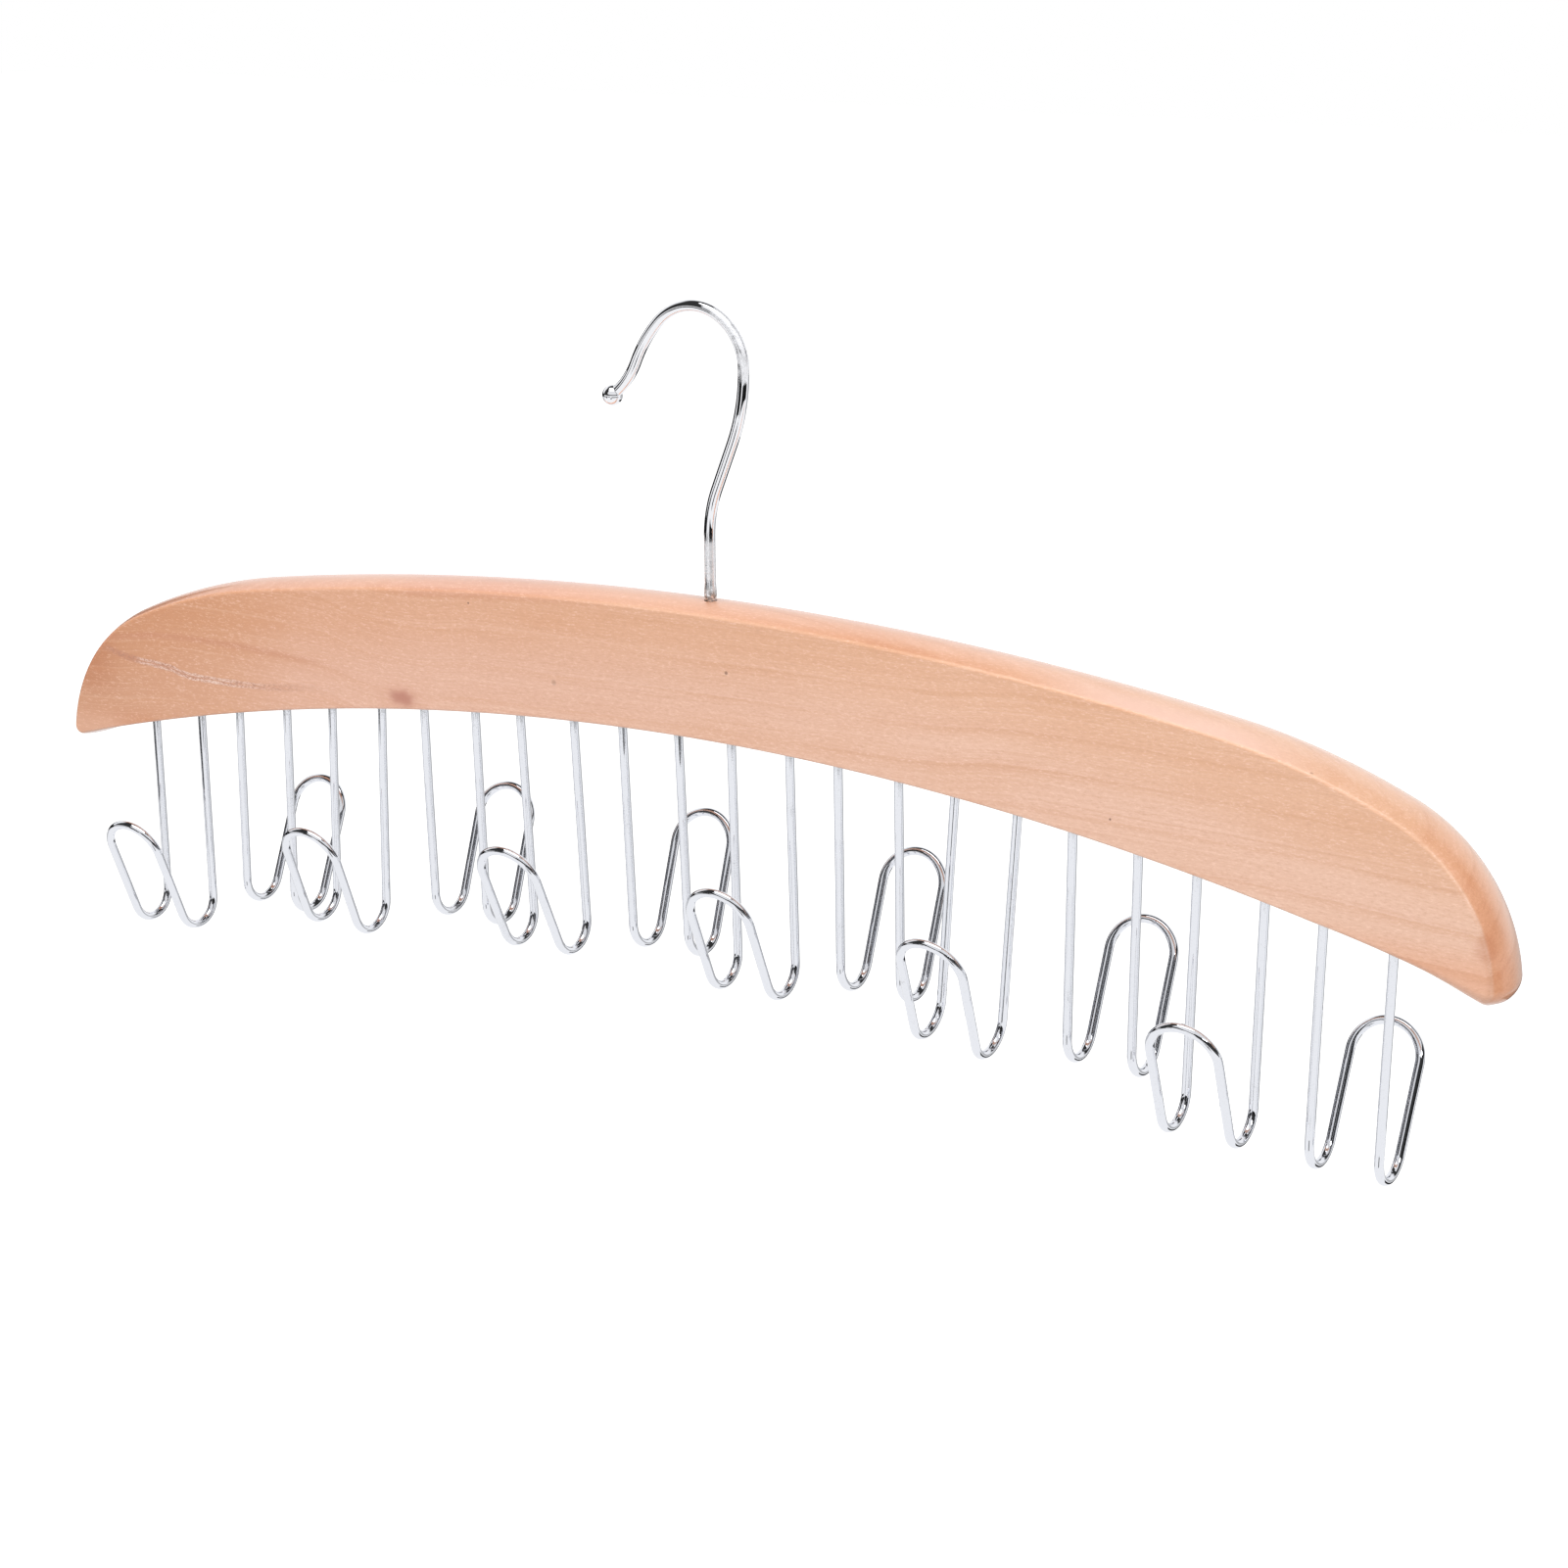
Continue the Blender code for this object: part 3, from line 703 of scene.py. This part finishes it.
def sharpen(mesh, limit=math.radians(25), face_corners=60):
    """Smooth shading, with real edges and the borders of the bar's many-cornered faces left sharp."""
    shape = bmesh.new()
    shape.from_mesh(mesh)
    for edge in shape.edges:
        faces = edge.link_faces
        flat = any(len(face.verts) > face_corners and abs(face.normal.y) > 0.999 for face in faces)
        edge.smooth = not (len(faces) == 2 and (flat or edge.calc_face_angle(0) > limit))
    shape.to_mesh(mesh)
    shape.free()


def build_bar(material):
    bar = add_object("bar_body", mesh_from("bar_body", bar_shape()), material)
    bar.location = BAR_ORIGIN
    recess = bmesh.new()
    add_rod(recess, SHANK_OFFSET, -OVERRUN, RECESS_DEPTH, RECESS_DIAMETER, 48)
    bore = bmesh.new()
    add_rod(bore, SHANK_OFFSET, RECESS_DEPTH / 2, BAR_HEIGHT + OVERRUN, BORE_DIAMETER, 32)
    holes = bmesh.new()
    for index in range(HOOK_COUNT):
        for x in (-HALF_SPACING, HALF_SPACING):
            add_rod(holes, x, -OVERRUN, WIRE_EMBED + CLEARANCE, WIRE_HOLE_DIAMETER, 24, hook_place(index))
    cut(bar, [recess, bore, holes])
    sharpen(bar.data)
    bar.data.materials.clear()
    bar.data.materials.append(material)
    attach(bar, "hanger")
    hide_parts("wood_bar")


def spaced(start, end, step):
    """Points from start towards end, about a step apart, without the end."""
    count = max(1, round((end - start).length / step))
    return [start.lerp(end, number / count) for number in range(count)]


def belt_hook_points(leg_length, arm_length, side):
    """The line of one belt hook: down a leg, round the bend, up the arm, over the arch and back."""
    bend_steps, arch_steps, spacing = 24, 36, 0.002
    arm = direction(ARM_LEAN)
    bend = []
    for step in range(bend_steps + 1):
        angle = (math.pi - ARM_LEAN) * step / bend_steps
        across = BEND_RADIUS * (1 - math.cos(angle))
        bend.append(Vector((across, -leg_length - BEND_RADIUS * math.sin(angle))))
    arm_top = bend[-1] + arm * arm_length
    profile = spaced(Vector((0, WIRE_EMBED)), bend[0], spacing) + bend[:-1]
    profile += spaced(bend[-1], arm_top, spacing)
    line = [(-HALF_SPACING, point) for point in profile]
    for step in range(arch_steps + 1):
        angle = math.pi * step / arch_steps
        line.append((-HALF_SPACING * math.cos(angle), arm_top + arm * HALF_SPACING * math.sin(angle)))
    line += [(HALF_SPACING, point) for point in reversed(profile)]
    return [Vector((x, side * point.x, point.y)) for x, point in line]


def build_belt_hooks(material):
    """Twelve wires, bent by hand: each line wanders a little, and so does the wire's width."""
    noise.seed_set(1)
    for index in range(HOOK_COUNT):
        side = -1 if index % 2 == 0 else 1
        line = belt_hook_points(LEG_LENGTH * LEG_SHARES[index], ARM_LENGTH * ARM_SHARES[index], side)
        place = Matrix.Translation(BAR_ORIGIN) @ hook_place(index)
        points = [place @ point for point in line]
        points = [p + noise.noise_vector(p * 45) * 0.00004 for p in points]
        radii = [BELT_WIRE_SEEN / 2 * (1 + 0.015 * noise.noise(p * 110)) for p in points]
        wire = add_object(f"belt_wire_{index + 1:02d}", tube_mesh("belt_wire", points, radii), material)
        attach(wire, "hanger")
        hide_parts(f"belt_hook_{index + 1:02d}")


def swivel_hook_line():
    """The line of the swivel hook above the crown, and its last heading."""
    point = Vector((0, 0))
    heading = 0
    line = []
    bends = (
        (SHANK_RISE, SHANK_BEND_RADIUS, NECK_LEAN, 24),
        (NECK_LENGTH, NECK_BEND_RADIUS, -NECK_LEAN, 24),
        (0, CREST_RADIUS, -CREST_TURN, 64),
        (0, REACH_RADIUS, -REACH_TURN, 16),
        (0, LIP_RADIUS, LIP_TURN, 16),
    )
    for straight, radius, turn, steps in bends:
        start = point
        point = point + direction(heading) * straight
        if straight:
            line += spaced(start, point, 0.0015)
        side = math.copysign(math.pi / 2, turn)
        centre = point + direction(heading + side) * radius
        for step in range(steps):
            line.append(centre - direction(heading + turn * step / steps + side) * radius)
        heading += turn
        point = centre - direction(heading + side) * radius
    line.append(point)
    return line, heading


def swivel_radius(point):
    """The wire's radius: as seen above the crown, with a ridge at the shank's foot, bare in the bore."""
    seen = HOOK_WIRE_SEEN / 2
    rise = point.y - CLEARANCE
    if point.x > SHANK_REACH:
        return seen
    if rise < 0:
        return HOOK_WIRE / 2
    return seen + (HOOK_WIRE / 2 + SHOULDER_RIDGE - seen) * max(0, 1 - rise / SHOULDER_RISE)


def build_swivel_hook(material):
    line, heading = swivel_hook_line()
    foot = spaced(Vector((0, SHANK_END - BAR_HEIGHT)), Vector((0, 0)), 0.001)
    ball = line[-1] + direction(heading) * LIP_LENGTH
    start = math.asin(HOOK_WIRE_SEEN / 2 / BALL_RADIUS)
    neck = BALL_RADIUS * math.cos(start)
    points = [point for point in foot + line if (point - ball).length > neck]
    radii = [swivel_radius(point) for point in points]
    steps = 32
    for step in range(steps + 1):
        angle = start + (BALL_END - start) * step / steps
        points.append(ball - direction(heading) * BALL_RADIUS * math.cos(angle))
        radii.append(BALL_RADIUS * math.sin(angle))
    places = [CROWN + Vector((point.x, 0, point.y)) for point in points]
    wire = add_object("swivel_wire", tube_mesh("swivel_wire", places, radii, 40), material)
    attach(wire, "hook")
    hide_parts("swivel_hook")


def ring_shape(levels, inner, sides):
    """A ring through levels of (height, outer radius at an angle), with a round bore."""
    shape = bmesh.new()
    loops = [[(outer(2 * math.pi * s / sides), height) for s in range(sides)] for height, outer in levels]
    loops += [[(inner, levels[-1][0])] * sides, [(inner, levels[0][0])] * sides]
    rings = []
    for loop in loops:
        ring = []
        for step, (radius, height) in enumerate(loop):
            angle = 2 * math.pi * step / sides
            ring.append(shape.verts.new((radius * math.cos(angle), radius * math.sin(angle), height)))
        rings.append(ring)
    for ring, following in zip(rings, rings[1:] + rings[:1]):
        join_rings(shape, ring, following)
    return shape


def build_fasteners(material):
    def hexagon(angle):
        sector = math.pi / 3
        return NUT_ACROSS_FLATS / 2 / math.cos((angle % sector) - sector / 2)

    def chamfer(angle):
        return min(hexagon(angle), NUT_ACROSS_FLATS / 2 + NUT_CHAMFER / 2)

    def rim(inset):
        return lambda angle: WASHER_DIAMETER / 2 - inset

    bore = HOOK_WIRE / 2 + CLEARANCE
    ease = WASHER_THICKNESS / 8
    washer = [
        (0, rim(ease)), (ease, rim(0)),
        (WASHER_THICKNESS - ease, rim(0)), (WASHER_THICKNESS, rim(ease)),
    ]
    nut = [
        (0, chamfer), (NUT_CHAMFER, hexagon),
        (NUT_HEIGHT - NUT_CHAMFER, hexagon), (NUT_HEIGHT, chamfer),
    ]
    for name, node, levels, base in (
        ("washer_disc", "hook_washer", washer, WASHER_BASE),
        ("nut_hexagon", "hook_nut", nut, NUT_BASE),
    ):
        item = add_object(name, mesh_from(name, ring_shape(levels, bore, 96)), material)
        sharpen(item.data)
        item.location = CROWN + Vector((0, 0, base - BAR_HEIGHT))
        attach(item, "hook")
        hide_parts(node)


# Stage, lamps and camera

WHITE = (1, 1, 1, 1)
FLOOR_DROP = 3

# How far a card may reach below the point that the cards stand round, and that point
CARD_DROP = 2.8
CARD_CENTRE = Vector((0, 0, -0.05))

# Cards that only reflections show: name, rows of (azimuth, low, high) in degrees, grey, metres away
CARDS = (
    ("card_left", ((-128, -12, 15), (-108, -12, 11), (-92, -12, 6), (-68, -12, 5)), 0.01, 6),
    ("card_ribbon_left", ((-80, -14.2, -9.5), (-50, -14.5, -7.5), (-30, -15, -8)), 0.01, 6),
    ("card_front", ((9, -38, -23.5), (26, -35, -24)), 0.02, 4.6),
    ("card_right", ((140, -48, -36), (155, -44, -29.5), (172, -38, -24), (194, -30, -19)), 0.01, 6),
    ("card_near_left", ((-42, -7.8, -3.6), (-29, -8.4, -4.7), (4, -15.3, -7.3)), 0.01, 0.55),
    ("card_near_strip", ((-44, -21, -11), (-29, -21, -11)), 0.01, 0.55),
    ("card_near_right", ((22, -21, -10.5), (50, -20.5, -11), (60, -20, -11), (104, -19, -11.5)), 0.01, 0.55),
    ("card_near_pale", ((-28, 22, 52), (-10, 14, 54), (60, 12, 55), (112, 12, 50)), 0.85, 0.55),
    ("card_edge_left", ((-132, -30, -13.5), (-78, -30, -13.5)), 0.58, 6),
    ("card_edge_right", ((130, -24, -9), (198, -24, -9)), 0.5, 6),
)

# Lamps: name, place, width, height, watts, whether reflections show them; all face one point
LAMP_TARGET = Vector((0, 0, -0.11))
LAMPS = (
    ("lamp_top", (0.1, -0.5, 1.6), 1.6, 1.2, 15, True),
    ("lamp_left", (-1.5, -1.3, 0.6), 1.0, 1.4, 23, False),
    ("lamp_back", (-0.3, 2.2, 0.1), 1.2, 1.0, 16, False),
    ("lamp_right", (1.5, -0.85, 1.1), 0.9, 0.9, 19, True),
)


def ray(azimuth, elevation):
    """The unit direction at an azimuth turned from -Y towards +X, and an elevation, in radians."""
    level = math.cos(elevation)
    return Vector((math.sin(azimuth) * level, -math.cos(azimuth) * level, math.sin(elevation)))


def floor_material():
    """Nearly white to the camera and white in reflections, yet it shows the hanger's shadow."""
    material = bpy.data.materials.new("floor")
    g = Graph(material)
    path = g.node("ShaderNodeLightPath").outputs
    mirrored = g.most(path["Is Glossy Ray"], path["Is Transmission Ray"])
    strength = g.span(path["Is Camera Ray"], 0.0, 1.0, 0.25, 0.9)
    glow = g.node("ShaderNodeEmission", {"Color": WHITE, "Strength": strength})
    plain = g.node("ShaderNodeBsdfDiffuse", {"Color": (0.85, 0.85, 0.85, 1)})
    both = g.node("ShaderNodeAddShader", {0: glow.outputs[0], 1: plain.outputs[0]})
    white = g.node("ShaderNodeEmission", {"Color": WHITE, "Strength": 1.0})
    look = g.node("ShaderNodeMixShader", {0: mirrored, 1: both.outputs[0], 2: white.outputs[0]})
    g.node("ShaderNodeOutputMaterial", {"Surface": look.outputs[0]})
    return material


def build_floor():
    """A pale floor well below the hanging piece."""
    shape = bmesh.new()
    bmesh.ops.create_grid(shape, x_segments=8, y_segments=8, size=30)
    floor = add_object("floor", mesh_from("floor", shape), floor_material())
    floor.location = (0, 0, -FLOOR_DROP)


def build_world():
    """White to the camera, and a studio to reflections.

    It is white behind the piece and below the horizon, and dark in front, with one pale pane.
    """
    world = bpy.data.worlds.new("studio")
    bpy.context.scene.world = world
    g = Graph(world)
    path = g.node("ShaderNodeLightPath").outputs
    sky_place = g.node("ShaderNodeTexCoord").outputs["Generated"]
    across, deep, height = g.axes(sky_place)
    behind = g.less(g.times(deep, 0.84), g.times(across, 0.54))
    room = g.times(g.span(behind, 0.2, 0.42), g.span(height, 0.8, 0.65))
    room = g.most(room, g.span(height, 0.03, -0.02))
    pane = g.node("ShaderNodeVectorMath", {0: sky_place, 1: (-0.045, -0.865, 0.5)}, operation="DOT_PRODUCT")
    room = g.most(room, g.span(pane.outputs["Value"], 0.945, 0.955, 0.0, 0.95))
    room = g.most(room, 0.035)
    gloss = path["Is Glossy Ray"]
    seen = g.most(path["Is Camera Ray"], path["Is Transmission Ray"])
    diffuse = g.times(0.42, g.less(1.0, g.most(gloss, seen)))
    strength = g.plus(g.most(g.times(gloss, room), seen), diffuse)
    sky = g.node("ShaderNodeBackground", {"Color": WHITE, "Strength": strength})
    g.node("ShaderNodeOutputWorld", {"Surface": sky.outputs[0]})


def build_card(name, rows, grey, far):
    steps_along, steps_up = 8, 4
    steepest = math.radians(max(1, -min(low for azimuth, low, high in rows)))
    far = min(far, CARD_DROP / math.sin(steepest))
    material = bpy.data.materials.new(name)
    g = Graph(material)
    glow = g.node("ShaderNodeEmission", {"Color": (grey, grey, grey, 1), "Strength": 1.0})
    g.node("ShaderNodeOutputMaterial", {"Surface": glow.outputs[0]})
    aims = []
    for start, end in zip(rows, rows[1:]):
        aims += [Vector(start).lerp(Vector(end), step / steps_along) for step in range(steps_along)]
    aims.append(Vector(rows[-1]))
    shape = bmesh.new()
    lines = []
    for azimuth, low, high in aims:
        line = []
        for step in range(steps_up + 1):
            aim = ray(math.radians(azimuth), math.radians(low + (high - low) * step / steps_up))
            line.append(shape.verts.new(CARD_CENTRE + aim * far))
        lines.append(line)
    for line, following in zip(lines, lines[1:]):
        for index in range(steps_up):
            shape.faces.new((line[index], line[index + 1], following[index + 1], following[index]))
    card = add_object(name, mesh_from(name, shape), material)
    card.visible_camera = False
    card.visible_diffuse = False
    card.visible_transmission = False
    card.visible_shadow = False


def build_lamp(name, place, width, height, power, glossy):
    lamp = bpy.data.lights.new(name, "AREA")
    lamp.shape = "RECTANGLE"
    lamp.size = width
    lamp.size_y = height
    lamp.energy = power
    item = bpy.data.objects.new(name, lamp)
    bpy.context.scene.collection.objects.link(item)
    item.location = place
    item.rotation_euler = (LAMP_TARGET - Vector(place)).to_track_quat("-Z", "Y").to_euler()
    item.visible_camera = False
    item.visible_glossy = glossy


def build_camera():
    """The photograph's view: azimuth, elevation and roll, then the distance and the aim."""
    azimuth, elevation, roll = 0.57311, 0.28822, -0.01074
    distance, aim_across, aim_up = 0.86270, 0.02097, -0.01414
    centre = Vector((0.0007166, 0, -0.1085657))
    back = ray(azimuth, elevation)
    level = Vector((math.cos(azimuth), math.sin(azimuth), 0))
    rise = back.cross(level)
    right = level * math.cos(roll) + rise * math.sin(roll)
    up = rise * math.cos(roll) - level * math.sin(roll)
    data = bpy.data.cameras.new("camera")
    data.lens = 76.195
    data.sensor_width = 36
    data.clip_start = 0.05
    data.clip_end = 200
    camera = bpy.data.objects.new("camera", data)
    bpy.context.scene.collection.objects.link(camera)
    place = centre + back * distance + right * aim_across + up * aim_up
    camera.matrix_world = Matrix.Translation(place) @ Matrix((right, up, back)).transposed().to_4x4()
    bpy.context.scene.camera = camera


build_bar(wood_material())
build_belt_hooks(chrome_material("chrome_belt", srgb(233, 235, 241), belt_wire_places))
build_swivel_hook(chrome_material("chrome_swivel", srgb(242, 243, 247), swivel_wire_places))
build_fasteners(steel_material())
build_floor()
build_world()
for card in CARDS:
    build_card(*card)
for lamp in LAMPS:
    build_lamp(*lamp)
build_camera()
bpy.context.scene.view_settings.view_transform = "Standard"
